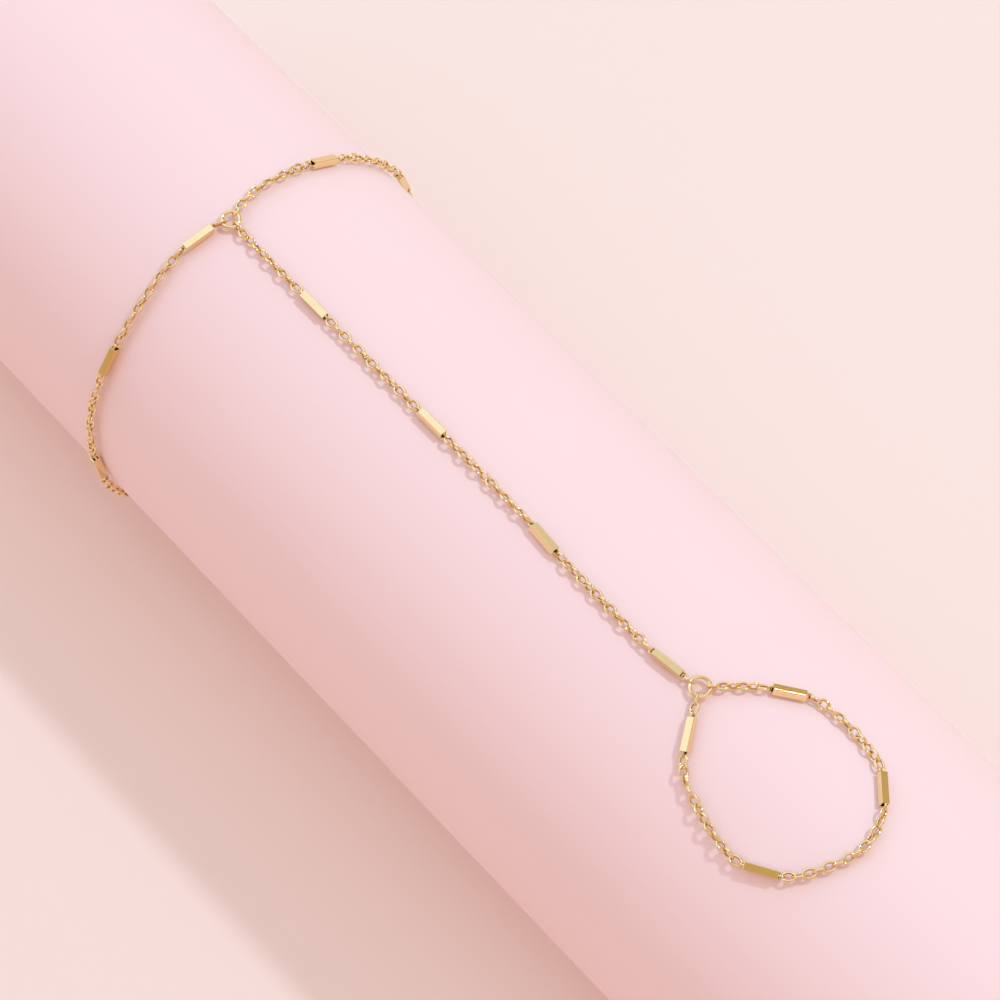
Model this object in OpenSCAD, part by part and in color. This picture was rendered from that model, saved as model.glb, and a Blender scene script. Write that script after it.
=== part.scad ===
// A hand chain bracelet lying on a pink display roll.
// One chain goes round the wrist, one runs along the back of the hand, and a
// small loop goes round a finger. Square bars break up the fine oval links.
//
// Millimetres. +X runs along the roll from the wrist end to the finger end,
// +Z is up, and the origin is the middle of the roll's flat underside.
// Every chain follows a route on the roll: x along it and u round it, where
// u is 0 at the top of the roll and grows toward +Y.

/* [Display roll] */
// Diameter of the roll
roll_d = 54; // [50:1:60]
// Length of the roll
roll_l = 196; // [180:1:220]
// Rounding of the roll's end edges
roll_edge_r = 1.5; // [0.5:0.5:3]
// Half angle that the flat underside takes from the roll, degrees
roll_flat_angle = 15; // [12:1:18]
// Width of the groove that lets the wrist chain pass under the roll
groove_w = 4; // [3.5:0.5:6]
// Height of that groove above the flat underside
groove_h = 2.8; // [2.6:0.1:3.4]

/* [Links] */
// Outer length of a link
link_l = 1.95; // [1.9:0.05:2.2]
// Outer width of a link
link_w = 1.45; // [1.4:0.05:1.6]
// Thickness of the link wire
link_wire = 0.29; // [0.26:0.01:0.3]
// Play left between two joined links
link_play = 0.14; // [0.12:0.01:0.16]

/* [Bars] */
// Length of a bar's square tube
bar_l = 4.2; // [3.6:0.1:5]
// Side of the square tube
bar_side = 1; // [0.9:0.05:1.1]
// Wall of the square tube
bar_wall = 0.14; // [0.1:0.01:0.18]
// Thickness of the eye wire at each end
eye_wire = 0.2; // [0.18:0.01:0.22]
// Length of the plain barrel clasp under the wrist
clasp_l = 5; // [4:0.5:6]
// Diameter of that clasp
clasp_d = 1.2; // [1.1:0.05:1.3]

/* [Rings] */
// Outer diameter of the ring on the wrist chain
wrist_ring_d = 2.5; // [2.4:0.1:3]
// Outer diameter of the ring where the finger loop starts
finger_ring_d = 2.8; // [2.6:0.1:3.2]
// Thickness of the ring wire
ring_wire = 0.42; // [0.36:0.02:0.46]

/* [Chain routes] */
// Distance between the two rings, along the back of the hand
hand_reach = 82.6; // [76:0.2:88]
// Length of the finger loop along the roll
finger_loop_l = 26.4; // [24:0.4:30]
// Width of the finger loop round the roll
finger_loop_w = 21.6; // [20:0.4:25]
// How far the wrist chain leans along the roll from its top to its bottom
wrist_lean = 5.5; // [3:0.5:8]
// How far the hand chain pulls its ring out of the wrist chain's line
ring_pull = 1.45; // [0:0.05:2]

/* [Hidden] */
// Height of the chains' centre line over the roll
chain_height = 0.88;
// Height of the wrist chain's centre line over the flat underside
underside_height = 0.9;
// Length over which the wrist chain's round and straight stretches blend
route_blend = 0.6;
// Place of the wrist ring, x and u
wrist_ring_x = -44;
wrist_ring_u = 1.25;
// Part of the turn either side of the ring that the pull reaches, degrees
pull_reach = 14;

// Sway of the wrist chain along the roll: turn from its ring, and mm
wrist_sways = [
    [0, 0], [10, 0], [40, 0.45], [70, -0.4], [96, 0], [104, -0.5],
    [112, -1.3], [120, -2.1], [128, -2.5], [140, -2.2], [152, -1.2],
    [165, -0.3], [175, 0], [240, 0], [250, -0.3], [260, -1], [268, -1.5],
    [276, -1.7], [284, -1.2], [292, -0.4], [300, 0], [360, 0]
];
// Points of the hand chain: share of the reach, and u in mm
hand_points = [
    [0, 1.25], [0.05, 1.1], [0.25, 1.05], [0.46, 1.05], [0.66, 1],
    [0.72, 0.65], [0.9, 0.45], [0.96, 0.85], [1, 1.55]
];
// Points of the finger loop from its ring: share of its length and width
finger_points = [
    [0, 0], [0.1, 0.148], [0.199, 0.277], [0.35, 0.435], [0.555, 0.479],
    [0.81, 0.426], [0.946, 0.248], [1.005, 0.019], [0.965, -0.181],
    [0.87, -0.385], [0.7, -0.516], [0.535, -0.519], [0.342, -0.458],
    [0.2, -0.37], [0.057, -0.116], [0, 0]
];

// Share of a chain's links that comes before each of its long pieces, and
// the angle that each long piece is rolled to round its own length. The
// fourth long piece of the wrist chain is the clasp.
wrist_shares = [0.01, 0.125, 0.24, 0.337, 0.433, 0.529, 0.644, 0.769, 0.894];
wrist_rolls = [-2, 5, 0, 0, 0, 0, 0, 0, -9];
clasp_place = 3;
hand_shares = [0.204, 0.469, 0.714, 0.98];
hand_rolls = [-6, 13, 21, 4];
finger_shares = [0.14, 0.372, 0.674, 0.953];
finger_rolls = [18, 96, 90, 23];

bar_count = 8;
small_bar_count = 4;

axis_z = roll_d / 2 * cos(roll_flat_angle);
route_r = roll_d / 2 + chain_height;
link_bend_r = (link_w - link_wire) / 2;
link_straight = link_l - link_w;
// Longest spacing at which two joined links keep their play
link_pitch_max = link_l - 2 * link_wire - link_play;

// The eye of a long piece: a half round bend on two straight legs
eye_bend_r = (bar_side - eye_wire) / 2 - 0.01;
eye_leg = 0.28;
eye_root = 0.4;
eye_reach = eye_leg + eye_bend_r - eye_wire / 2;
bar_step = bar_l + 2 * eye_reach - link_play;
clasp_step = clasp_l + 2 * eye_reach - link_play;

finger_ring_x = wrist_ring_x + hand_reach;
finger_ring_u = hand_points[len(hand_points) - 1][1];
// Turn of the wrist ring round the roll, degrees from the top
wrist_ring_turn = degrees(wrist_ring_u);
// Line that the wrist chain leans about, set so that it meets its ring
wrist_mid_x = wrist_ring_x + wrist_lean * cos(wrist_ring_turn) - ring_pull;

function degrees(u) = u / route_r * 180 / PI;
function sum(v, i = 0) = i < len(v) ? v[i] + sum(v, i + 1) : 0;
function unit(v) = v / norm(v);

// Smaller of a and b, with a rounded change from one to the other
function smooth_min(a, b, k) =
    min(a, b) - pow(max(k - abs(a - b), 0), 2) / (4 * k);

// A place on the route from x and its turn round the roll. Under the roll
// the centre line runs straight, parallel to the flat underside.
function place(x, turn) =
    let (down = -cos(turn),
         low = down > 0.5 ? (axis_z - underside_height) / down : 2 * route_r,
         r = smooth_min(route_r, low, route_blend))
    [x, r * sin(turn), axis_z + r * cos(turn)];

// A smooth curve through points, with m steps from each to the next
function smooth(p, m) = [
    for (i = [0 : len(p) - 2], j = [0 : m - 1]) curve_at(p, i, j / m),
    p[len(p) - 1]
];
function curve_at(p, i, t) =
    let (a = p[max(i - 1, 0)], b = p[i], c = p[i + 1],
         d = p[min(i + 2, len(p) - 1)])
    b + t * (c - a) / 2 + t * t * (a - 2.5 * b + 2 * c - d / 2)
        + t * t * t * (1.5 * (b - c) + (d - a) / 2);

// The three routes as close places, each from ring to ring
turn_step = 2;
wrist_route = [
    for (a = [0 : turn_step : 360])
        let (pull = max(1 - min(a, 360 - a) / pull_reach, 0),
             turn = wrist_ring_turn - a)
        place(wrist_mid_x - wrist_lean * cos(turn)
              + ring_pull * pull * pull + lookup(a, wrist_sways), turn)
];
hand_route = [
    for (q = smooth(hand_points, 12))
        place(wrist_ring_x + q[0] * hand_reach, degrees(q[1]))
];
finger_route = [
    for (q = smooth(finger_points, 12))
        place(finger_ring_x + q[0] * finger_loop_l,
              degrees(finger_ring_u + q[1] * finger_loop_w))
];

// Length of a route up to each of its places
function lengths(r, i = 0, s = 0) =
    i == len(r) - 1 ? [s]
    : concat([s], lengths(r, i + 1, s + norm(r[i + 1] - r[i])));
// A route as [length, coordinate] tables for x, y and z
function tables(r) =
    let (s = lengths(r))
    [for (k = [0 : 2]) [for (i = [0 : len(r) - 1]) [s[i], r[i][k]]]];
function route_length(tab) = tab[0][len(tab[0]) - 1][0];
function at(tab, s) = [for (t = tab) lookup(s, t)];

// Length at which a straight piece that starts at s ends on the route
function piece_end(tab, s, piece, guess, n = 3) =
    n == 0 ? guess
    : piece_end(tab, s, piece,
                s + (guess - s) * piece / norm(at(tab, guess) - at(tab, s)),
                n - 1);
// Ends of all pieces, laid one after the other from s
function ends(tab, s, pieces, i = 0) =
    i == len(pieces) ? [s]
    : concat([s], ends(tab, piece_end(tab, s, pieces[i], s + pieces[i]),
                       pieces, i + 1));

// Number of links: the fewest that keep their play, and one more where the
// last link would not stand upright to pass through its ring
function link_count(room, longs) =
    let (n = ceil(room / link_pitch_max))
    (n + longs) % 2 == 1 ? n : n + 1;

// Every piece of a chain in order: its length, with the links at pitch p
function piece_list(n, shares, steps, p) = [
    for (i = [0 : n + len(steps) - 1])
        let (k = long_at(i, n, shares))
        k < 0 ? p : steps[k]
];
// Which long piece is the i-th piece, or -1 for a link
function long_at(i, n, shares) =
    let (hits = [for (k = [0 : len(shares) - 1])
                     if (round(n * shares[k]) + k == i) k])
    len(hits) > 0 ? hits[0] : -1;

// A chain's plan: tables, number of links, ends of all its pieces, shares
// and rolls. start and stop are where its first and last joints lie from
// the two ring middles.
function plan(route, shares, steps, rolls, start, stop) =
    let (tab = tables(route),
         last = route_length(tab) - stop,
         room = last - start - sum(steps),
         n = link_count(room, len(steps)),
         p = room / n,
         first = ends(tab, start, piece_list(n, shares, steps, p)),
         q = p + (last - first[len(first) - 1]) / n)
    [tab, n, ends(tab, start, piece_list(n, shares, steps, q)), shares,
     rolls];

function ring_reach(d) = d / 2 - ring_wire - link_play / 2;
wrist_reach = ring_reach(wrist_ring_d);
finger_reach = ring_reach(finger_ring_d);

wrist_plan = plan(wrist_route, wrist_shares,
    [for (k = [0 : bar_count]) k == clasp_place ? clasp_step : bar_step],
    wrist_rolls, wrist_reach, wrist_reach);
hand_plan = plan(hand_route, hand_shares,
    [for (k = [1 : small_bar_count]) bar_step],
    hand_rolls, wrist_reach, finger_reach);
finger_plan = plan(finger_route, finger_shares,
    [for (k = [1 : small_bar_count]) bar_step],
    finger_rolls, finger_reach, finger_reach);

// Position of the k-th long piece among all pieces of a plan
function long_index(pl, k) = round(pl[1] * pl[3][k]) + k;
// Roll of the i-th piece: pieces stand upright and lie flat in turn, and
// between the long pieces the chain twists evenly
function piece_roll(pl, i) =
    let (last = len(pl[2]) - 1,
         marks = concat([[-1, 0]],
             [for (k = [0 : len(pl[3]) - 1]) [long_index(pl, k), pl[4][k]]],
             [[last, 0]]))
    lookup(i, marks) + (i % 2 == 0 ? 90 : 0);

// Puts a piece drawn along X, with its wire loop in the XY plane, between
// two places, rolled round its own length. At roll 0 it lies flat.
module between(a, b, roll) {
    m = (a + b) / 2;
    t = unit(b - a);
    s = unit(cross([0, m[1], m[2] - axis_z], t));
    n = cross(t, s);
    y = s * cos(roll) - n * sin(roll);
    z = n * cos(roll) + s * sin(roll);
    multmatrix([
        [t[0], y[0], z[0], m[0]],
        [t[1], y[1], z[1], m[1]],
        [t[2], y[2], z[2], m[2]],
        [0, 0, 0, 1]
    ])
        children();
}

module piece(pl, i) {
    between(at(pl[0], pl[2][i]), at(pl[0], pl[2][i + 1]), piece_roll(pl, i))
        children();
}

// An oval link in the XY plane
module link() {
    for (side = [0, 180])
        rotate([0, 0, side]) {
            translate([link_straight / 2, 0, 0])
                rotate([0, 0, -90])
                    rotate_extrude(angle = 180, $fn = 72)
                        translate([link_bend_r, 0])
                            circle(d = link_wire, $fn = 72);
            translate([-link_straight / 2, link_bend_r, 0])
                rotate([0, 90, 0])
                    cylinder(d = link_wire, h = link_straight, $fn = 72);
        }
}

// An eye that sticks out along X from a face at x = 0
module eye() {
    translate([eye_leg, 0, 0])
        rotate([0, 0, -90])
            rotate_extrude(angle = 180, $fn = 72)
                translate([eye_bend_r, 0])
                    circle(d = eye_wire, $fn = 72);
    for (side = [-1, 1])
        translate([-eye_root, side * eye_bend_r, 0])
            rotate([0, 90, 0])
                cylinder(d = eye_wire, h = eye_root + eye_leg, $fn = 72);
}

module both_ends(l) {
    for (side = [0, 180])
        rotate([0, 0, side])
            translate([l / 2, 0, 0])
                children();
}

// A square tube along X with an eye in each open end
module bar() {
    difference() {
        cube([bar_l, bar_side, bar_side], center = true);
        cube([bar_l + 1, bar_side - 2 * bar_wall, bar_side - 2 * bar_wall],
             center = true);
    }
    both_ends(bar_l) eye();
}

// A plain round barrel along X with an eye at each end
module clasp() {
    rotate([0, 90, 0])
        cylinder(d = clasp_d, h = clasp_l, center = true, $fn = 72);
    both_ends(clasp_l) eye();
}

// All links of a chain; the long pieces are left out
module links(pl) {
    for (i = [0 : len(pl[2]) - 2])
        if (long_at(i, pl[1], pl[3]) < 0)
            piece(pl, i) link();
}

// A round ring that lies on the roll round a place on the route
module ring(d, x, turn) {
    translate(place(x, turn))
        rotate([-turn, 0, 0])
            rotate_extrude($fn = 72)
                translate([(d - ring_wire) / 2, 0])
                    circle(d = ring_wire, $fn = 72);
}

module display_roll() {
    end_r = roll_d / 2 - roll_edge_r;
    color("#ecc9c7")
        difference() {
            translate([-roll_l / 2, 0, axis_z])
                rotate([0, 90, 0])
                    rotate_extrude($fn = 180)
                        polygon(concat(
                            [[0, 0]],
                            [for (a = [0 : 15 : 90])
                                [end_r + roll_edge_r * sin(a),
                                 roll_edge_r * (1 - cos(a))]],
                            [for (a = [0 : 15 : 90])
                                [end_r + roll_edge_r * cos(a),
                                 roll_l - roll_edge_r * (1 - sin(a))]],
                            [[0, roll_l]]));
            translate([-roll_l / 2 - 1, -roll_d / 2, -roll_d])
                cube([roll_l + 2, roll_d, roll_d]);
            translate([wrist_mid_x + wrist_lean - groove_w / 2,
                       -roll_d / 2, -1])
                cube([groove_w, roll_d, groove_h + 1]);
        }
}

module wrist_ring() {
    color("#d9b25c") ring(wrist_ring_d, wrist_ring_x, wrist_ring_turn);
}

module finger_ring() {
    color("#d9b25c")
        ring(finger_ring_d, finger_ring_x, degrees(finger_ring_u));
}

// Wrist bars are counted from the ring, first round the -Y side
module wrist_bar(i) {
    k = i <= clasp_place ? i - 1 : i;
    color("#d6ad55") piece(wrist_plan, long_index(wrist_plan, k)) bar();
}

module wrist_clasp() {
    color("#d6ad55")
        piece(wrist_plan, long_index(wrist_plan, clasp_place)) clasp();
}

module hand_bar(i) {
    color("#d6ad55") piece(hand_plan, long_index(hand_plan, i - 1)) bar();
}

module finger_bar(i) {
    color("#d6ad55")
        piece(finger_plan, long_index(finger_plan, i - 1)) bar();
}

module wrist_chain() {
    color("#dcb768") links(wrist_plan);
}

module hand_chain() {
    color("#dcb768") links(hand_plan);
}

module finger_chain() {
    color("#dcb768") links(finger_plan);
}

display_roll();
wrist_ring();
finger_ring();
wrist_clasp();
wrist_chain();
hand_chain();
finger_chain();
for (i = [1 : bar_count])
    wrist_bar(i);
for (i = [1 : small_bar_count])
    hand_bar(i);
for (i = [1 : small_bar_count])
    finger_bar(i);
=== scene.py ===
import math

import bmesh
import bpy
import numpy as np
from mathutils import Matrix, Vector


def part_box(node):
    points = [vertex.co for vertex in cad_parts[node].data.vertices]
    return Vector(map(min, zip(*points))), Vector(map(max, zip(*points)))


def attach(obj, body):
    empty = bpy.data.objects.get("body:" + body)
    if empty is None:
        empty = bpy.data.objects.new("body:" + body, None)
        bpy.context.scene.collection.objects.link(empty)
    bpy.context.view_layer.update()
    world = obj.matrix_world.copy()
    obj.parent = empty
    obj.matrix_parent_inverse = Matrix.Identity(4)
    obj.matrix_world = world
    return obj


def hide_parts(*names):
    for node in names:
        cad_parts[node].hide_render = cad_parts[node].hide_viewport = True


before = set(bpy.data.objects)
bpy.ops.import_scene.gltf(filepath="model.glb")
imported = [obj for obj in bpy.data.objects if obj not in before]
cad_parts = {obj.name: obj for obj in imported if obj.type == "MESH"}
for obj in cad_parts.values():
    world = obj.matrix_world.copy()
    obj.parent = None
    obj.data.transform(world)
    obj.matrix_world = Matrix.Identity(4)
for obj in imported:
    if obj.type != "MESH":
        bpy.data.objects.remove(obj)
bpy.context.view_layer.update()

# %% [markdown]
# A hand chain bracelet is three strands of fine oval links, joined by two
# round rings and broken up by small square bars. Here it lies on a pink
# display roll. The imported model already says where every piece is, so this
# notebook reads each piece's place from it and dresses it in polished gold.
# Blender counts in metres. Sizes here are in millimetres, and become metres
# where they are multiplied by MM.

MM = 0.001

# %% [markdown]
# The camera looks steeply down on the roll from a little to one side, with a
# long lens. Its place was worked out from the two edges of the roll, which
# cross the picture as nearly parallel lines. The roll is cut flat underneath,
# so its axis lies a little less than its radius above the floor.

# %% Camera
ROLL_RADIUS = 27.0
FLAT_ANGLE = math.radians(15)         # from straight down to the flat's edge
AXIS_HEIGHT = ROLL_RADIUS * math.cos(FLAT_ANGLE)
CAMERA_PLACE = Vector((96.0, -84.19, 367.82 + AXIS_HEIGHT)) * MM
CAMERA_DIP = math.radians(70.0)       # below the horizon
CAMERA_HEADING = math.radians(46.9)   # turn of the picture's right side from +X
FOCAL_SHARE = 3.03                    # focal length over the picture's width
SENSOR_WIDTH = 36.0

right = Vector((math.cos(CAMERA_HEADING), math.sin(CAMERA_HEADING), 0))
ahead = Vector((-math.sin(CAMERA_HEADING), math.cos(CAMERA_HEADING), 0))
look = ahead * math.cos(CAMERA_DIP) - Vector((0, 0, 1)) * math.sin(CAMERA_DIP)
up = right.cross(look)
camera_data = bpy.data.cameras.new("camera")
camera_data.sensor_width = SENSOR_WIDTH
camera_data.lens = FOCAL_SHARE * SENSOR_WIDTH
camera_data.clip_start = 0.01
camera = bpy.data.objects.new("camera", camera_data)
bpy.context.scene.collection.objects.link(camera)
camera.matrix_world = Matrix.Translation(CAMERA_PLACE) @ Matrix(
    (right, up, -look)).transposed().to_4x4()
bpy.context.scene.camera = camera
print("camera at", [round(c, 4) for c in CAMERA_PLACE])

# %% [markdown]
# Colours are written as the hex values one would pick on a screen. Blender
# mixes light in linear values, so one function turns the first into the
# second. Another one adds a shader or geometry node with its settings and its
# links, and serves every tree in this notebook.

# %% Helpers for colours, nodes and materials
def linear(hex_colour):
    """An sRGB hex colour as linear red, green, blue and alpha."""
    values = [int(hex_colour[i:i + 2], 16) / 255 for i in (1, 3, 5)]
    return [v / 12.92 if v <= 0.04045 else ((v + 0.055) / 1.055) ** 2.4
            for v in values] + [1.0]


def add_node(tree, kind, inputs=None, **settings):
    """A node of that kind. An input is a value, or an output to link from."""
    node = tree.nodes.new(kind)
    for name, value in settings.items():
        setattr(node, name, value)
    for name, value in (inputs or {}).items():
        if isinstance(value, bpy.types.NodeSocket):
            tree.links.new(value, node.inputs[name])
        else:
            node.inputs[name].default_value = value
    return node


def new_material(name):
    """An empty material, and its node tree."""
    material = bpy.data.materials.new(name)
    material.use_nodes = True
    material.node_tree.nodes.clear()
    return material, material.node_tree


print("half grey on a screen is", round(linear("#808080")[0], 2), "of the light")

# %% [markdown]
# Gold plate over brass is polished by tumbling, so it is bright and a little
# uneven, never a perfect mirror. All light that a metal sends back is a
# reflection, so it is fully metallic, and its base colour, a pale yellow
# gold, tints what it mirrors. A faint fine noise in its roughness and surface
# stands for the tumbling. On links this thin the noise is drawn about a tenth
# of a millimetre coarse, because a finer one would not show. The gold inside
# a link is painted browner, as painted shade where its neighbours shade it.
# The link's shape carries where that is.

# %% Polished gold plate
TINT_PATCH, TUMBLE_MARK, TUMBLE_DEPTH = 1.6, 0.12, 0.004


def polished_gold(name, colour, deep_colour, roughness, grain, inside_shade_colour=None):
    """Gold between two tones, and a third as painted shade inside a link."""
    material, tree = new_material(name)
    place = add_node(tree, "ShaderNodeTexCoord").outputs["Object"]
    cloud = add_node(tree, "ShaderNodeTexNoise", {
        "Vector": place, "Scale": 1 / (TINT_PATCH * MM), "Detail": 2.0})
    fine = add_node(tree, "ShaderNodeTexNoise", {
        "Vector": place, "Scale": 1 / (TUMBLE_MARK * MM), "Detail": 2.0})
    body = add_node(tree, "ShaderNodeMix", {
        "Factor": cloud.outputs["Fac"],
        "A": linear(colour), "B": linear(deep_colour)}, data_type="RGBA")
    if inside_shade_colour:
        # Painted shade: the gold is mixed browner where the wire faces into its
        # link.
        inner = add_node(tree, "ShaderNodeAttribute", attribute_name="inner")
        painted_inside_shade = add_node(tree, "ShaderNodeMapRange", {
            "Value": inner.outputs["Fac"], "From Min": 0.1, "From Max": 0.8})
        body = add_node(tree, "ShaderNodeMix", {
            "Factor": painted_inside_shade.outputs["Result"],
            "A": body.outputs["Result"],
            "B": linear(inside_shade_colour)}, data_type="RGBA")
    dull = add_node(tree, "ShaderNodeMapRange", {
        "Value": fine.outputs["Fac"],
        "To Min": roughness * 0.75, "To Max": roughness * 1.3})
    bump = add_node(tree, "ShaderNodeBump", {
        "Height": fine.outputs["Fac"], "Strength": grain,
        "Distance": TUMBLE_DEPTH * MM})
    shader = add_node(tree, "ShaderNodeBsdfPrincipled", {
        "Base Color": body.outputs["Result"], "Metallic": 1.0,
        "Roughness": dull.outputs["Result"],
        "Normal": bump.outputs["Normal"]})
    add_node(tree, "ShaderNodeOutputMaterial",
             {"Surface": shader.outputs["BSDF"]})
    return material


# The links' third colour is painted shade, the brown inside each link.
LINK_GOLD = polished_gold("polished_gold_links", "#feecb8", "#f7dea5",
                          0.08, 0.25, inside_shade_colour="#b5813a")
BAR_GOLD = polished_gold("polished_gold_bars", "#f9e4ae", "#f1d79c", 0.06, 0.15)
print("made", LINK_GOLD.name, "and", BAR_GOLD.name)

# %% [markdown]
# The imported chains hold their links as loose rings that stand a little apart,
# so a chain's triangles are first sorted into pieces that hang together. A
# piece starts at the next face that is in none yet, and grows from neighbour
# to neighbour. The faces are taken in their own order, so that every run
# sorts them alike. Blender can separate loose parts by itself, but it would
# make a new object of each, and only their places are wanted here.

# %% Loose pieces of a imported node
WELD = 0.001


def loose_pieces(node):
    """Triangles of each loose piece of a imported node, in metres."""
    bm = bmesh.new()
    bm.from_mesh(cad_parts[node].data)
    bmesh.ops.remove_doubles(bm, verts=bm.verts, dist=WELD * MM)
    bmesh.ops.triangulate(bm, faces=bm.faces)
    taken = set()
    found = []
    for start in bm.faces:
        if start in taken:
            continue
        taken.add(start)
        front = [start]
        piece = []
        while front:
            face = front.pop()
            piece.append([list(v.co) for v in face.verts])
            for edge in face.edges:
                for other in edge.link_faces:
                    if other not in taken:
                        taken.add(other)
                        front.append(other)
        found.append(np.array(piece))
    bm.free()
    return found


print("the packed wrist ring is", len(loose_pieces("wrist_ring")), "piece")

# %% [markdown]
# Each piece's middle and directions come from its own surface. The longest
# direction is the length of a link or a bar, and the shortest goes straight
# through the loop of a link or a ring. The triangles' areas are the weights,
# so uneven meshing doesn't turn a piece.

# %% Places of the pieces
def middle_and_turn(triangles):
    """Middle of a piece, and its turn from length X, width Y, depth Z."""
    a, b, c = triangles[:, 0], triangles[:, 1], triangles[:, 2]
    area = np.linalg.norm(np.cross(b - a, c - a), axis=1)[:, None]
    middle = (area * (a + b + c) / 3).sum(0) / area.sum()
    spread = np.zeros((3, 3))
    for corners, count in ((a, 1), (b, 1), (c, 1), (a + b + c, 3)):
        off = corners - middle * count
        spread += (area * off).T @ off
    axes = np.linalg.eigh(spread)[1][:, ::-1]
    if np.linalg.det(axes) < 0:
        axes[:, 2] *= -1
    return Vector(middle), Matrix(axes.tolist()).to_quaternion()


def places(*nodes):
    """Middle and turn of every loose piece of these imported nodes."""
    found = []
    for node in nodes:
        found += [middle_and_turn(piece) for piece in loose_pieces(node)]
    return found


link_places = {node: places(node)
               for node in ("wrist_chain", "hand_chain", "finger_chain")}
print("links:", {node: len(found) for node, found in link_places.items()})

# %% [markdown]
# A repeated shape is best placed by Geometry Nodes: a cloud of points carries
# one turn per point, and a tree sets a copy of the shape on each. A second
# value, the twist, is for runs of chain that have turned like cord. A loop in
# Python could set the copies too, but a tree is quicker with hundreds of
# them, and shows its sizes as named inputs.

# %% Points that carry a turn
def point_cloud(name, found, twist_at=lambda place: 0.0):
    """An object of points alone, each with its turn and its twist."""
    mesh = bpy.data.meshes.new(name)
    mesh.from_pydata([p for p, _ in found], [], [])
    turns = mesh.attributes.new("turn", "QUATERNION", "POINT")
    for i, (_, turn) in enumerate(found):
        turns.data[i].value = turn
    twists = mesh.attributes.new("twist", "FLOAT", "POINT")
    for i, (place, _) in enumerate(found):
        twists.data[i].value = twist_at(place)
    piece = bpy.data.objects.new(name, mesh)
    bpy.context.scene.collection.objects.link(piece)
    return piece


# %% [markdown]
# A tree works as a modifier, whose result would be made anew each time the
# model is posed or exported. So the result is kept as a plain mesh and the
# modifier goes. A modifier knows its inputs by an identifier, not a name, and
# the tree's own list of sockets tells which identifier each name has.

# %% A tree's result as a plain mesh
def evaluated_mesh(piece):
    """What the piece's modifiers make of it, as a mesh of its own."""
    bpy.context.view_layer.update()
    ready = piece.evaluated_get(bpy.context.evaluated_depsgraph_get())
    return bpy.data.meshes.new_from_object(ready)


def grow(piece, tree, values):
    """Runs a tree on a piece with these inputs and keeps the mesh."""
    modifier = piece.modifiers.new("grow", "NODES")
    modifier.node_group = tree
    for item in tree.interface.items_tree:
        if item.item_type == "SOCKET" and item.name in values:
            modifier[item.identifier] = values[item.name]
    mesh = evaluated_mesh(piece)
    piece.modifiers.remove(modifier)
    piece.data = mesh
    mesh.name = piece.name
    print(piece.name, "has", len(mesh.polygons), "faces")
    return piece


# %% [markdown]
# Every tree here begins and ends the same way. It begins with named inputs.
# It ends by setting the copies on their points and making them real, because
# an export keeps no copies, and by giving them their material.

# %% Beginning and end of a tree
def new_tree(name, inputs):
    """A geometry tree with these named inputs, and its group input."""
    tree = bpy.data.node_groups.new(name, "GeometryNodeTree")
    face = tree.interface
    face.new_socket("Geometry", in_out="INPUT", socket_type="NodeSocketGeometry")
    for label, kind, value in inputs:
        socket = face.new_socket(label, in_out="INPUT", socket_type=kind)
        if value is not None:
            socket.default_value = value
    face.new_socket("Geometry", in_out="OUTPUT",
                    socket_type="NodeSocketGeometry")
    return tree, add_node(tree, "NodeGroupInput").outputs


def finish_tree(tree, source, shape, angles=None):
    """Sets the shape on the points, turned by further angles where asked."""
    turn = add_node(tree, "GeometryNodeInputNamedAttribute",
                    {"Name": "turn"}, data_type="QUATERNION")
    copies = add_node(tree, "GeometryNodeInstanceOnPoints", {
        "Points": source["Geometry"], "Instance": shape,
        "Rotation": turn.outputs["Attribute"]})
    if angles is not None:
        copies = add_node(tree, "GeometryNodeRotateInstances", {
            "Instances": copies.outputs["Instances"], "Rotation": angles})
    real = add_node(tree, "GeometryNodeRealizeInstances",
                    {"Geometry": copies.outputs["Instances"]})
    painted = add_node(tree, "GeometryNodeSetMaterial", {
        "Geometry": real.outputs["Geometry"],
        "Material": source["Material"]})
    add_node(tree, "NodeGroupOutput",
             {"Geometry": painted.outputs["Geometry"]})


# %% [markdown]
# A cable chain's link is an oval of round wire. A stretched torus would have
# its wire stretched too. So a circle is stretched along the chain first, and
# a small circle is then swept along it, which keeps the wire round. How far
# each spot of the wire faces the middle of the link is stored on it, for the
# painted shade that makes the gold browner inside.

# %% One oval link
LINK_STEPS, WIRE_SIDES = 16, 6


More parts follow.
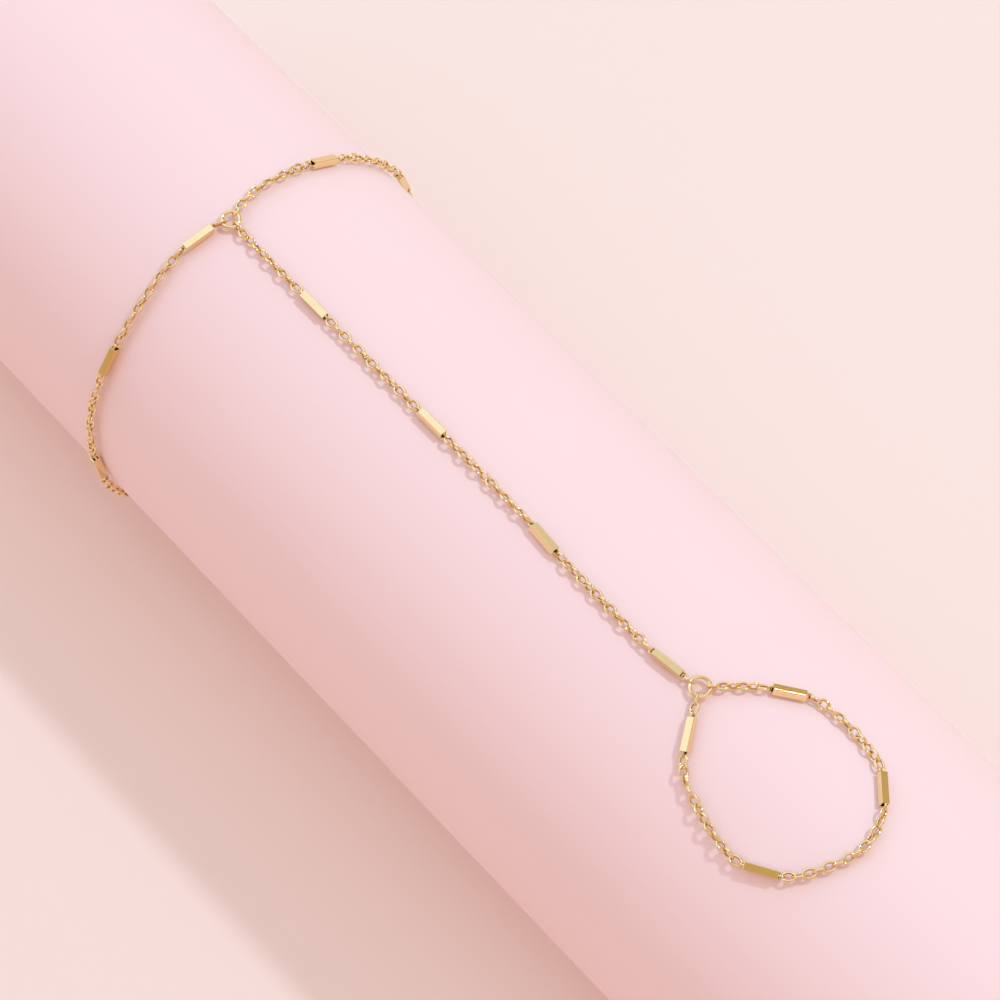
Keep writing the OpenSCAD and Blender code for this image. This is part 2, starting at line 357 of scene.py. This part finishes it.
def oval_link(tree, source):
    """One link round the origin, with its length along X."""
    across = add_node(tree, "ShaderNodeMath", {
        0: source["Outer width"], 1: source["Wire"]}, operation="SUBTRACT")
    along = add_node(tree, "ShaderNodeMath", {
        0: source["Hole length"], 1: source["Wire"]}, operation="ADD")
    radius = add_node(tree, "ShaderNodeMath", {
        0: across.outputs["Value"], 1: 0.5}, operation="MULTIPLY")
    wire_radius = add_node(tree, "ShaderNodeMath", {
        0: source["Wire"], 1: 0.5}, operation="MULTIPLY")
    stretch = add_node(tree, "ShaderNodeMath", {
        0: along.outputs["Value"], 1: across.outputs["Value"]},
        operation="DIVIDE")
    circle = add_node(tree, "GeometryNodeCurvePrimitiveCircle", {
        "Resolution": LINK_STEPS, "Radius": radius.outputs["Value"]})
    lengthwise = add_node(tree, "ShaderNodeCombineXYZ", {
        "X": stretch.outputs["Value"], "Y": 1.0, "Z": 1.0})
    oval = add_node(tree, "GeometryNodeTransform", {
        "Geometry": circle.outputs["Curve"],
        "Scale": lengthwise.outputs["Vector"]})
    profile = add_node(tree, "GeometryNodeCurvePrimitiveCircle", {
        "Resolution": WIRE_SIDES, "Radius": wire_radius.outputs["Value"]})
    link = add_node(tree, "GeometryNodeCurveToMesh", {
        "Curve": oval.outputs["Geometry"],
        "Profile Curve": profile.outputs["Curve"]})
    place = add_node(tree, "GeometryNodeInputPosition")
    normal = add_node(tree, "GeometryNodeInputNormal")
    outwards = add_node(tree, "ShaderNodeVectorMath",
                        {0: place.outputs["Position"]}, operation="NORMALIZE")
    facing_out = add_node(tree, "ShaderNodeVectorMath", {
        0: outwards.outputs["Vector"], 1: normal.outputs["Normal"]},
        operation="DOT_PRODUCT")
    facing_in = add_node(tree, "ShaderNodeMath", {
        0: facing_out.outputs["Value"], 1: -1.0}, operation="MULTIPLY")
    # How far the wire faces inward is the mask for the painted shade inside the
    # link.
    marked = add_node(tree, "GeometryNodeStoreNamedAttribute", {
        "Geometry": link.outputs["Mesh"], "Name": "inner",
        "Value": facing_in.outputs["Value"]},
        data_type="FLOAT", domain="POINT")
    smooth = add_node(tree, "GeometryNodeSetShadeSmooth",
                      {"Geometry": marked.outputs["Geometry"]})
    return smooth.outputs["Geometry"]


print("a link has", LINK_STEPS * WIRE_SIDES, "faces")

# %% [markdown]
# No link lies just as its neighbour does. Each gets a roll round its length
# and a small swing to one side, drawn from its place with a fixed seed. Both
# inputs give the whole range, in radians, so half of it lies to either side.
# The twist of the whole chain is added to the roll. The swing is kept small,
# because neighbours already touch.

# %% The tree of links
LINK_WIDTH, WIRE = 1.4, 0.36
OWN_ROLL, OWN_SWING, SEED = 0.8, 0.16, 7


def turns_of_links(tree, source):
    """Each link's own roll and swing, with the chain's twist, in radians."""
    place = add_node(tree, "GeometryNodeInputPosition")
    chance = add_node(tree, "ShaderNodeTexWhiteNoise", {
        "Vector": place.outputs["Position"], "W": source["Seed"]},
        noise_dimensions="4D")
    draws = add_node(tree, "ShaderNodeSeparateXYZ",
                     {"Vector": chance.outputs["Color"]}).outputs
    own = {}
    for label, draw in (("Own roll", draws["X"]), ("Own swing", draws["Y"])):
        centred = add_node(tree, "ShaderNodeMath", {0: draw, 1: 0.5},
                           operation="SUBTRACT")
        own[label] = add_node(tree, "ShaderNodeMath", {
            0: source[label], 1: centred.outputs["Value"]},
            operation="MULTIPLY").outputs["Value"]
    twist = add_node(tree, "GeometryNodeInputNamedAttribute",
                     {"Name": "twist"}, data_type="FLOAT")
    roll = add_node(tree, "ShaderNodeMath", {
        0: own["Own roll"], 1: twist.outputs["Attribute"]}, operation="ADD")
    angles = add_node(tree, "ShaderNodeCombineXYZ", {
        "X": roll.outputs["Value"], "Z": own["Own swing"]})
    return angles.outputs["Vector"]


LINKS, source = new_tree("oval_links", [
    ("Hole length", "NodeSocketFloat", None),
    ("Outer width", "NodeSocketFloat", LINK_WIDTH * MM),
    ("Wire", "NodeSocketFloat", WIRE * MM),
    ("Own roll", "NodeSocketFloat", OWN_ROLL),
    ("Own swing", "NodeSocketFloat", OWN_SWING),
    ("Seed", "NodeSocketInt", SEED),
    ("Material", "NodeSocketMaterial", None)])
finish_tree(LINKS, source, oval_link(LINKS, source),
            turns_of_links(LINKS, source))
print("the tree of links has", len(LINKS.nodes), "nodes")

# %% [markdown]
# In a few runs the chain has turned by up to an eighth of a turn, and looks
# like cord. Each such run is named by the two pieces that it lies between,
# the share of the way from the first to the second, and the turn in degrees.
# The turn is greatest there and dies away over some millimetres.

# %% Twisted runs
TWIST_REACH = 5.0
TWISTED_RUNS = (
    ("wrist_ring", "hand_bar_1", 0.3, 40),
    ("finger_bar_1", "finger_bar_2", 0.35, 35),
    ("finger_bar_3", "finger_bar_4", 0.3, 35),
    ("finger_bar_3", "finger_bar_4", 0.7, 35),
    ("finger_bar_2", "finger_bar_3", 0.25, 30))


def run_middle(one, two, share):
    """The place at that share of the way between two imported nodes."""
    middles = [sum(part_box(node), Vector()) / 2 for node in (one, two)]
    return middles[0].lerp(middles[1], share)


twist_middles = [(run_middle(one, two, share), math.radians(degrees))
                 for one, two, share, degrees in TWISTED_RUNS]


def twist_at(place):
    """How far the chain has turned there, in radians."""
    return sum(angle * math.exp(-((place - middle).length
                                  / (TWIST_REACH * MM)) ** 2)
               for middle, angle in twist_middles)


print("twisted runs:", len(twist_middles))

# %% [markdown]
# The links touch here, as real ones do under a slight pull: the hole in a
# link is as long as the distance from one link to the next. That distance is
# measured. There are about as many steps between neighbours as there are
# links, and they are the shortest distances of all. The middle one of them
# is the usual step.

# %% Links on their places
def link_pitch(found):
    """The usual distance from one link to the next."""
    steps = sorted((found[i][0] - found[j][0]).length
                   for i in range(len(found)) for j in range(i))
    return float(np.median(steps[:len(found) - 1]))


for node, found in link_places.items():
    pitch = link_pitch(found)
    piece = grow(point_cloud(node + "_links", found, twist_at), LINKS,
                 {"Hole length": pitch, "Material": LINK_GOLD})
    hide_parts(node)
    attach(piece, "root")
    print(node, "pitch", round(pitch / MM, 3), "mm")

# %% [markdown]
# The other gold pieces, and the roll, are rows of rings of corners joined by
# faces. A closed row bites its own tail, as in a round ring. An open row gets
# a face at each end.

# %% Meshes from rings of corners
def join_rings(bm, rings, closed):
    """Faces between rings of equally many corners, in order."""
    made = [[bm.verts.new(Vector(p) * MM) for p in ring] for ring in rings]
    following = made[1:] + made[:1] if closed else made[1:]
    for one, two in zip(made, following):
        for i in range(len(one)):
            j = (i + 1) % len(one)
            bm.faces.new((one[i], one[j], two[j], two[i]))
    if not closed:
        bm.faces.new(list(reversed(made[0])))
        bm.faces.new(made[-1])


def mesh_piece(name, bm, material, sharp=math.radians(40)):
    """A finished object from a bmesh, faces outwards and smoothly shaded."""
    bmesh.ops.recalc_face_normals(bm, faces=bm.faces)
    mesh = bpy.data.meshes.new(name)
    bm.to_mesh(mesh)
    bm.free()
    mesh.materials.append(material)
    mesh.shade_smooth()
    mesh.set_sharp_from_angle(angle=sharp)
    piece = bpy.data.objects.new(name, mesh)
    bpy.context.scene.collection.objects.link(piece)
    return piece


# %% [markdown]
# A bar is a square tube. Tube is drawn through a die, so its long edges are
# softly rounded and catch a thin bright line. The section is a square with
# rounded corners. Guard points close to each corner keep the corner's smooth
# shading off the flat faces, which would look bent without them.

# %% Rounded square
BAR_SIDE, EDGE_ROUND, GUARD = 1.0, 0.07, 0.02
EDGE_STEPS = 6


def rounded_square(side, corner):
    """Points of a square with rounded corners, one after another."""
    points = []
    for quarter in range(4):
        turned = Matrix.Rotation(math.pi / 2 * quarter, 2)
        reach = side / 2 - corner
        points.append(turned @ Vector((side / 2, reach - GUARD)))
        for step in range(EDGE_STEPS + 1):
            angle = math.pi / 2 * step / EDGE_STEPS
            points.append(turned @ Vector((reach + corner * math.cos(angle),
                                           reach + corner * math.sin(angle))))
        points.append(turned @ Vector((reach - GUARD, side / 2)))
    return points


print("the square has", len(rounded_square(BAR_SIDE, EDGE_ROUND)), "points")

# %% [markdown]
# The tube is a row of such squares. It runs along the outside, over a small
# rounding at the rim, and comes back through the inside, so that the wall's
# thickness shows at both open ends. A box with a bevel would be simpler, but
# it would be closed, and the dark open ends are what makes these bars.

# %% Square tube
BAR_LENGTH, BAR_WALL = 4.2, 0.14
RIM_ROUND, INNER_ROUND = 0.05, 0.05


def add_tube(bm):
    """The tube's wall: out along the outside, and back through the inside."""
    half = BAR_LENGTH / 2
    rim = [(half - RIM_ROUND - GUARD, BAR_SIDE, EDGE_ROUND)]
    rim += [(half - RIM_ROUND * (1 - math.sin(a)),
             BAR_SIDE - 2 * RIM_ROUND * (1 - math.cos(a)), EDGE_ROUND)
            for a in (0, math.pi / 4, math.pi / 2)]
    rim.append((half, BAR_SIDE - 2 * BAR_WALL, INNER_ROUND))
    sections = [(-x, side, corner) for x, side, corner in reversed(rim)] + rim
    join_rings(bm, [[(x, y, z) for y, z in rounded_square(side, corner)]
                    for x, side, corner in sections], closed=True)


# %% [markdown]
# Both ends of a bar are open, with a thin wire eye inside that the first link
# hooks through. The eye is a round wire bent into a half circle on two legs,
# and the legs reach into the tube, where they are soldered.

# %% Wire eyes
EYE_WIRE, EYE_BEND, EYE_LEG, EYE_ROOT = 0.3, 0.34, 0.28, 0.4
EYE_SIDES, EYE_DEGREES = 8, 20


def add_wire(bm, path, wire):
    """A round wire along a path in the XY plane."""
    upright = Vector((0, 0, 1))
    rings = []
    for i, point in enumerate(path):
        before, after = path[max(i - 1, 0)], path[min(i + 1, len(path) - 1)]
        across = (Vector(after) - Vector(before)).normalized().cross(upright)
        angles = [2 * math.pi * k / EYE_SIDES for k in range(EYE_SIDES)]
        rings.append([tuple(Vector(point) + wire / 2 * (
            across * math.cos(a) + upright * math.sin(a))) for a in angles])
    join_rings(bm, rings, closed=False)


def add_eyes(bm, half):
    """An eye in each end of a piece that is twice that long."""
    for side in (1, -1):
        path = [(half - EYE_ROOT, -EYE_BEND, 0)]
        path += [(half + EYE_LEG + EYE_BEND * math.sin(math.radians(a)),
                  -EYE_BEND * math.cos(math.radians(a)), 0)
                 for a in range(0, 181, EYE_DEGREES)]
        path.append((half - EYE_ROOT, EYE_BEND, 0))
        add_wire(bm, [(x * side, y * side, z) for x, y, z in path], EYE_WIRE)


bm = bmesh.new()
add_tube(bm)
add_eyes(bm, BAR_LENGTH / 2)
bar_shape = mesh_piece("bar_shape", bm, BAR_GOLD)
print("one bar has", len(bar_shape.data.polygons), "faces")

# %% [markdown]
# All bars are the same piece, so they are copies of one shape too. They get
# no random roll: how each bar is turned shows clearly, and is measured.

# %% Bars on their places
BARS, source = new_tree("square_bars", [
    ("Shape", "NodeSocketObject", None),
    ("Material", "NodeSocketMaterial", None)])
shape = add_node(BARS, "GeometryNodeObjectInfo", {"Object": source["Shape"]})
finish_tree(BARS, source, shape.outputs["Geometry"])

BAR_COUNTS = {"wrist": 8, "hand": 4, "finger": 4}
for strand, count in BAR_COUNTS.items():
    nodes = ["%s_bar_%d" % (strand, i + 1) for i in range(count)]
    piece = grow(point_cloud(strand + "_bars", places(*nodes)), BARS,
                 {"Shape": bar_shape, "Material": BAR_GOLD})
    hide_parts(*nodes)
    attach(piece, "root")
bpy.data.objects.remove(bar_shape)

# %% [markdown]
# The two rings are plain round wire, closed by soldering. Blender's torus
# would do as well, but a row of rings is at hand already, and takes the sizes
# by which such a ring is sold: its outer width and its wire. Each is made at
# the origin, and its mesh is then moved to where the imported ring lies.

# %% Rings
WRIST_RING, FINGER_RING, RING_WIRE = 2.7, 3.0, 0.5
RING_STEPS, RING_SIDES = 56, 14


def placed(piece, node):
    """Moves a piece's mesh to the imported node's place and takes it over."""
    middle, turn = places(node)[0]
    piece.data.transform(Matrix.Translation(middle)
                         @ turn.to_matrix().to_4x4())
    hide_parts(node)
    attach(piece, "root")
    print(piece.name, "lies at", [round(c / MM, 1) for c in middle], "mm")


def ring_piece(name, outer):
    """A round wire ring of that outer width, flat at the origin."""
    around = [2 * math.pi * k / RING_STEPS for k in range(RING_STEPS)]
    about_wire = [2 * math.pi * k / RING_SIDES for k in range(RING_SIDES)]
    wire = RING_WIRE / 2
    sweep = outer / 2 - wire
    bm = bmesh.new()
    join_rings(bm, [[((sweep + wire * math.cos(b)) * math.cos(a),
                      (sweep + wire * math.cos(b)) * math.sin(a),
                      wire * math.sin(b)) for b in about_wire]
                    for a in around], closed=True)
    return mesh_piece(name, bm, LINK_GOLD)


placed(ring_piece("wrist_ring_wire", WRIST_RING), "wrist_ring")
placed(ring_piece("finger_ring_wire", FINGER_RING), "finger_ring")

# %% [markdown]
# The clasp lies out of sight under the wrist, so it stays a plain barrel. It
# is turned on a lathe, with rounded end edges, and has an eye in each end
# like the bars.

# %% Clasp
CLASP_LENGTH, CLASP_WIDTH, CLASP_ROUND = 5.0, 1.2, 0.2
CLASP_STEPS, CLASP_ROUND_STEPS = 24, 4


def rod_profile(half, radius, rounding, steps):
    """Places along a rod with rounded end edges, and its radius there."""
    angles = [math.pi / 2 * k / steps for k in range(steps + 1)]
    profile = [(-half + rounding * (1 - math.cos(a)),
                radius - rounding * (1 - math.sin(a))) for a in angles]
    return profile + [(-x, r) for x, r in reversed(profile)]


def add_turned(bm, profile, steps, height=0.0):
    """A body turned round a line along X, at that height."""
    angles = [2 * math.pi * k / steps for k in range(steps)]
    join_rings(bm, [[(x, r * math.sin(a), height + r * math.cos(a))
                     for a in angles] for x, r in profile], closed=False)


bm = bmesh.new()
add_turned(bm, rod_profile(CLASP_LENGTH / 2, CLASP_WIDTH / 2, CLASP_ROUND,
                           CLASP_ROUND_STEPS), CLASP_STEPS)
add_eyes(bm, CLASP_LENGTH / 2)
placed(mesh_piece("clasp_barrel", bm, BAR_GOLD), "wrist_clasp")

# %% [markdown]
# The display roll is a stiff tube skinned in card, which is pressed smooth
# between rollers. That leaves it satin, with hardly any gloss: most of its
# light is scattered, and a very faint relief stands for its fibres. Slow
# patches keep the pink from being flat.

# %% Satin card
CARD_PATCH, CARD_FIBRE, CARD_RELIEF = 45, 0.35, 0.02


def satin_card(name, colour, shade_colour):
    """Card between two tones, with a faint relief of fibres."""
    material, tree = new_material(name)
    place = add_node(tree, "ShaderNodeTexCoord").outputs["Object"]
    cloud = add_node(tree, "ShaderNodeTexNoise", {
        "Vector": place, "Scale": 1 / (CARD_PATCH * MM), "Detail": 2.0})
    fibre = add_node(tree, "ShaderNodeTexNoise", {
        "Vector": place, "Scale": 1 / (CARD_FIBRE * MM), "Detail": 3.0})
    tint = add_node(tree, "ShaderNodeMix", {
        "Factor": cloud.outputs["Fac"],
        "A": linear(colour), "B": linear(shade_colour)}, data_type="RGBA")
    dull = add_node(tree, "ShaderNodeMapRange", {
        "Value": fibre.outputs["Fac"], "To Min": 0.5, "To Max": 0.62})
    bump = add_node(tree, "ShaderNodeBump", {
        "Height": fibre.outputs["Fac"], "Strength": 0.12,
        "Distance": CARD_RELIEF * MM})
    shader = add_node(tree, "ShaderNodeBsdfPrincipled", {
        "Base Color": tint.outputs["Result"],
        "Roughness": dull.outputs["Result"],
        "Specular IOR Level": 0.1,
        "Normal": bump.outputs["Normal"]})
    add_node(tree, "ShaderNodeOutputMaterial",
             {"Surface": shader.outputs["BSDF"]})
    return material


CARD = satin_card("satin_card_blush", "#fee8ec", "#fce4e8")
print("made", CARD.name)

# %% [markdown]
# The roll is turned like a piece on a lathe too, with softly rounded end
# edges. Its end faces are fans that meet in one point. Then a plane cuts it
# flat underneath, and the hole is filled. The rounding is part of the turned
# outline, because a bevel put on afterwards would round the cut's edges too.

# %% Display roll
END_ROUND = 1.5
END_STEPS, ROLL_STEPS = 6, 240
FAN_RADIUS, FAN_MERGE = 0.001, 0.002
SHARP = math.radians(30)

low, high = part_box("display_roll")
roll_half = (high.x - low.x) / MM / 2
profile = rod_profile(roll_half, ROLL_RADIUS, END_ROUND, END_STEPS)
profile = [(-roll_half, FAN_RADIUS)] + profile + [(roll_half, FAN_RADIUS)]
bm = bmesh.new()
add_turned(bm, profile, ROLL_STEPS, AXIS_HEIGHT)
bmesh.ops.remove_doubles(bm, verts=bm.verts, dist=FAN_MERGE * MM)
bmesh.ops.recalc_face_normals(bm, faces=bm.faces)
bmesh.ops.bisect_plane(
    bm, geom=bm.verts[:] + bm.edges[:] + bm.faces[:], dist=WELD * MM,
    plane_co=(0, 0, 0), plane_no=(0, 0, -1), clear_outer=True)
bmesh.ops.holes_fill(bm, edges=[e for e in bm.edges if e.is_boundary])
roll = mesh_piece("roll_skin", bm, CARD, SHARP)
print("roll is", round(2 * roll_half, 1), "mm long")

# %% [markdown]
# The wrist chain passes under the roll, through a groove across the flat. A
# Boolean cuts it with a plain block, which is deleted afterwards.

# %% Groove under the roll
GROOVE_MIDDLE, GROOVE_WIDTH, GROOVE_HEIGHT = -34.45, 4.0, 2.8

bm = bmesh.new()
bmesh.ops.create_cube(bm, size=1.0)
bmesh.ops.scale(bm, verts=bm.verts, vec=Vector(
    (GROOVE_WIDTH, 2 * ROLL_RADIUS, 2 * GROOVE_HEIGHT)) * MM)
bmesh.ops.translate(bm, verts=bm.verts, vec=(GROOVE_MIDDLE * MM, 0, 0))
cutter = mesh_piece("groove_cutter", bm, CARD)
groove = roll.modifiers.new("groove", "BOOLEAN")
groove.operation = "DIFFERENCE"
groove.solver = "EXACT"
groove.object = cutter
grooved = evaluated_mesh(roll)
roll.modifiers.clear()
roll.data = grooved
bpy.data.objects.remove(cutter)
grooved.shade_smooth()
grooved.set_sharp_from_angle(angle=SHARP)
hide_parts("display_roll")
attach(roll, "root")
print("roll has", len(grooved.polygons), "faces")

# %% [markdown]
# The floor is a pale cream sheet of uncoated paper. Its loose fibres scatter
# the light, so it is matt and only takes the roll's soft shadow. It is a
# little uneven in tone over a hand's width, and it reaches far past the
# picture on all sides.

# %% Floor
PAPER_PATCH, PAPER_REACH = 120, 1500


def matt_paper(name, colour, shade_colour):
    """Paper between two tones, without gloss."""
    material, tree = new_material(name)
    place = add_node(tree, "ShaderNodeTexCoord").outputs["Object"]
    cloud = add_node(tree, "ShaderNodeTexNoise",
                     {"Vector": place, "Scale": 1 / (PAPER_PATCH * MM)})
    tint = add_node(tree, "ShaderNodeMix", {
        "Factor": cloud.outputs["Fac"],
        "A": linear(colour), "B": linear(shade_colour)}, data_type="RGBA")
    shader = add_node(tree, "ShaderNodeBsdfPrincipled", {
        "Base Color": tint.outputs["Result"], "Roughness": 0.9,
        "Specular IOR Level": 0.2})
    add_node(tree, "ShaderNodeOutputMaterial",
             {"Surface": shader.outputs["BSDF"]})
    return material


PAPER = matt_paper("matt_paper_cream", "#faede7", "#f9ece5")
bm = bmesh.new()
bmesh.ops.create_grid(bm, x_segments=4, y_segments=4, size=PAPER_REACH * MM)
floor = mesh_piece("floor", bm, PAPER)
print("floor of", PAPER.name)

# %% [markdown]
# One small lamp, high on the far side, gives the chain its clear shadow. It
# is a cool white disk, and its size sets how soft the shadow's edge is.

# %% Lamp
LAMP_WAY = Vector((0.15, 0.557, 0.824)).normalized()
LAMP_DISTANCE, LAMP_SIZE = 1200, 75
LAMP_WATTS = 4.2

lamp_data = bpy.data.lights.new("lamp", "AREA")
lamp_data.shape = "DISK"
lamp_data.size = LAMP_SIZE * MM
lamp_data.energy = LAMP_WATTS
lamp_data.color = linear("#d9eafa")[:3]
lamp = bpy.data.objects.new("lamp", lamp_data)
bpy.context.scene.collection.objects.link(lamp)
lamp_turn = LAMP_WAY.to_track_quat("Z", "Y").to_matrix().to_4x4()
lamp.matrix_world = Matrix.Translation(LAMP_WAY * LAMP_DISTANCE * MM) @ lamp_turn
print("lamp at", [round(c, 2) for c in lamp.matrix_world.translation])

# %% [markdown]
# Polished gold shows the room it stands in, so the room is drawn with care.
# A picture of a real room would light it well too, but a drawn one can be
# fitted to the gold tone by tone. Blender's world is a shader that gives each
# direction its light, so the tones stay put when the view changes. In a world,
# the Generated coordinates are the direction itself. Five measures tell how
# far it points to the left, to the right, to the far side, up, and to the
# near corner. The left one is a little slanted, as that window is.

# %% Directions in the room
NEAR_CORNER = Vector((0.75, -0.65, 0.1)).normalized()
WINDOW_SLANT = 0.1

world = bpy.data.worlds.new("room")
bpy.context.scene.world = world
world.use_nodes = True
tree = world.node_tree
tree.nodes.clear()
way = add_node(tree, "ShaderNodeTexCoord").outputs["Generated"]
parts = add_node(tree, "ShaderNodeSeparateXYZ", {"Vector": way}).outputs
slant = add_node(tree, "ShaderNodeMath", {0: parts["Y"], 1: WINDOW_SLANT},
                 operation="MULTIPLY")
leftness = add_node(tree, "ShaderNodeMath", {
    0: slant.outputs["Value"], 1: parts["X"]}, operation="SUBTRACT")
nearness = add_node(tree, "ShaderNodeVectorMath", {0: way, 1: NEAR_CORNER},
                    operation="DOT_PRODUCT")
measures = {"left": leftness.outputs["Value"], "right": parts["X"],
            "far": parts["Y"], "high": parts["Z"],
            "near": nearness.outputs["Value"]}
print("a direction is measured by", ", ".join(measures))

# %% [markdown]
# Two tall windows, to the left and to the right, put the bright lines on the
# gold, and the dim, warm strip between them gives it its olive and brown. The
# near corner glows peach, as warm paper in the light would. Each glow lies
# over what came before it, with soft edges. An edge is one of the measures,
# where the glow begins there, and where it is whole. The Standard view then
# shows colours as they were picked, and doesn't grey the pale ones.

# %% Windows and glows
ROOM_TONE, ROOM_STRENGTH = "#ffe3b2", 0.59
GLOWS = (
    ("#e2e9ff", 1.42, (("left", 0.08, 0.38), ("far", 1.0, 0.7),
                       ("high", 0.15, 0.5))),
    ("#e8f4ff", 1.5, (("right", 0.2, 0.42), ("far", -1.0, -0.8),
                      ("far", 0.5, -0.1))),
    ("#ffb38a", 0.75, (("near", 0.25, 0.95),)))


def glowing(hex_colour, strength):
    """A colour of light, which may be brighter than white."""
    return [strength * value for value in linear(hex_colour)[:3]] + [1.0]


tone = glowing(ROOM_TONE, ROOM_STRENGTH)
for colour, strength, edges in GLOWS:
    share = 1.0
    for measure, begins, whole in edges:
        edge = add_node(tree, "ShaderNodeMapRange", {
            "Value": measures[measure], "From Min": begins, "From Max": whole},
            interpolation_type="SMOOTHSTEP")
        share = add_node(tree, "ShaderNodeMath", {
            0: edge.outputs["Result"], 1: share},
            operation="MULTIPLY").outputs["Value"]
    tone = add_node(tree, "ShaderNodeMix", {
        "Factor": share, "A": tone, "B": glowing(colour, strength)},
        data_type="RGBA").outputs["Result"]
room = add_node(tree, "ShaderNodeBackground", {"Color": tone})
add_node(tree, "ShaderNodeOutputWorld", {"Surface": room.outputs["Background"]})
bpy.context.scene.view_settings.view_transform = "Standard"
print("room with", len(GLOWS), "glows")
